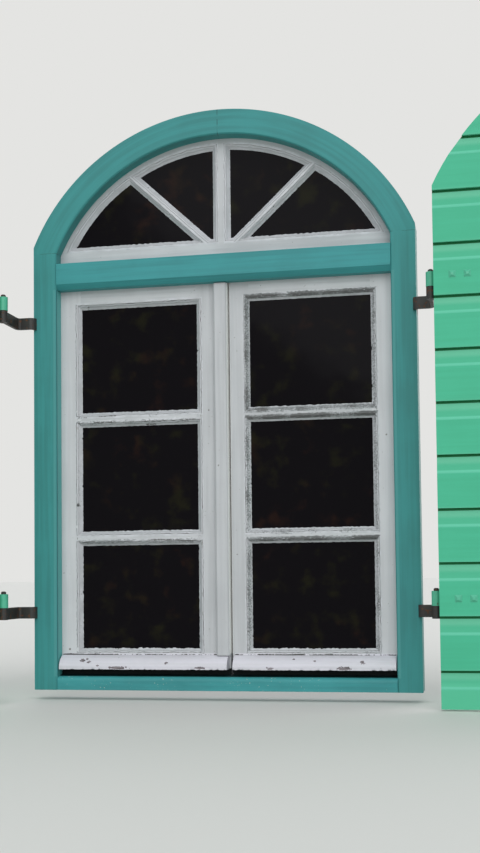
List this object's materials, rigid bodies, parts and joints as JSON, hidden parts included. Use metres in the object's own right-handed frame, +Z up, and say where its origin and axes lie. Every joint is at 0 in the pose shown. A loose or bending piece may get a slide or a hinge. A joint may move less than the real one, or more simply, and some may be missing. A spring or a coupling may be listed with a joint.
{
  "type": "window with shutters",
  "caption": "Arched timber window: frame, inward casements, fixed fanlight and boarded outside shutters folded back on strap hinges.",
  "frame": {"origin": "middle of the sill's underside, halfway through the frame's depth", "axes": "+X along the facade to the right seen from outside, +Y from outside towards the room, +Z up"},
  "size_m": [2.155, 0.2526, 1.56],
  "materials": {
    "teal_painted_wood": "satin oil paint, a little faded",
    "white_painted_wood": "old white oil paint, cracked and flaking at the joints",
    "putty": "painted linseed putty, cracked and grey where it has lost its paint",
    "green_painted_wood": "satin mint green paint over planed boards",
    "glass": "plain window glass, dark with the unlit room behind it",
    "green_painted_iron": "brushed over with the shutter's paint",
    "dark_iron": "dark iron paint with a little rust",
    "white_painted_iron": "painted over with the casements",
    "brass": "dulled cast brass"
  },
  "bodies": {
    "frame": {"sill": "teal_painted_wood", "left_jamb": "teal_painted_wood", "right_jamb": "teal_painted_wood", "transom": "teal_painted_wood", "head_left": "teal_painted_wood", "head_right": "teal_painted_wood", "fanlight_bottom_rail": "white_painted_wood", "fanlight_rim_left": "white_painted_wood", "fanlight_rim_right": "white_painted_wood", "fanlight_centre_bar": "white_painted_wood", "fanlight_left_bar": "white_painted_wood", "fanlight_right_bar": "white_painted_wood", "fanlight_glass": "glass", "fanlight_putty": "putty", "casement_hinge_frame_flaps": "white_painted_iron", "casement_hinge_pins": "white_painted_iron", "left_lower_pintle": "dark_iron", "left_upper_pintle": "dark_iron", "right_lower_pintle": "dark_iron", "right_upper_pintle": "dark_iron", "pintle_nails": "dark_iron"},
    "left_casement": {"left_hinge_stile": "white_painted_wood", "left_meeting_stile": "white_painted_wood", "left_bottom_rail": "white_painted_wood", "left_lower_bar": "white_painted_wood", "left_upper_bar": "white_painted_wood", "left_top_rail": "white_painted_wood", "left_glass": "glass", "left_putty": "putty", "left_drip_board": "white_painted_wood", "left_hinge_flaps": "white_painted_iron", "meeting_strip": "white_painted_wood", "catch_keeper": "brass"},
    "right_casement": {"right_hinge_stile": "white_painted_wood", "right_meeting_stile": "white_painted_wood", "right_bottom_rail": "white_painted_wood", "right_lower_bar": "white_painted_wood", "right_upper_bar": "white_painted_wood", "right_top_rail": "white_painted_wood", "right_glass": "glass", "right_putty": "putty", "right_drip_board": "white_painted_wood", "right_hinge_flaps": "white_painted_iron", "catch_plate": "brass"},
    "catch": {"catch_lever": "brass"},
    "left_shutter": {"left_shutter_boards": "green_painted_wood", "left_shutter_hinge_batten": "green_painted_wood", "left_shutter_meeting_batten": "green_painted_wood", "left_lower_strap": "green_painted_iron", "left_upper_strap": "green_painted_iron", "left_shutter_rivets": "green_painted_iron"},
    "right_shutter": {"right_shutter_boards": "green_painted_wood", "right_shutter_hinge_batten": "green_painted_wood", "right_shutter_meeting_batten": "green_painted_wood", "right_lower_strap": "green_painted_iron", "right_upper_strap": "green_painted_iron", "right_shutter_rivets": "green_painted_iron"}
  },
  "joints": [
    {"name": "left_casement_swing", "type": "hinge", "parent": "frame", "child": "left_casement", "pos_m": [-0.4495, 0.0466, 0.542], "axis": [0, 0, 1], "range_deg": [0, 100]},
    {"name": "right_casement_swing", "type": "hinge", "parent": "frame", "child": "right_casement", "pos_m": [0.4495, 0.0466, 0.542], "axis": [0, 0, -1], "range_deg": [0, 100]},
    {"name": "catch_turn", "type": "hinge", "parent": "right_casement", "child": "catch", "pos_m": [0.044, 0.0435, 0.56], "axis": [0, 1, 0], "range_deg": [0, 90]},
    {"name": "left_shutter_swing", "type": "hinge", "parent": "frame", "child": "left_shutter", "pos_m": [-0.54, -0.1515, 0.6], "axis": [0, 0, 1], "range_deg": [0, 180]},
    {"name": "right_shutter_swing", "type": "hinge", "parent": "frame", "child": "right_shutter", "pos_m": [0.54, -0.1515, 0.6], "axis": [0, 0, -1], "range_deg": [0, 180]}
  ]
}
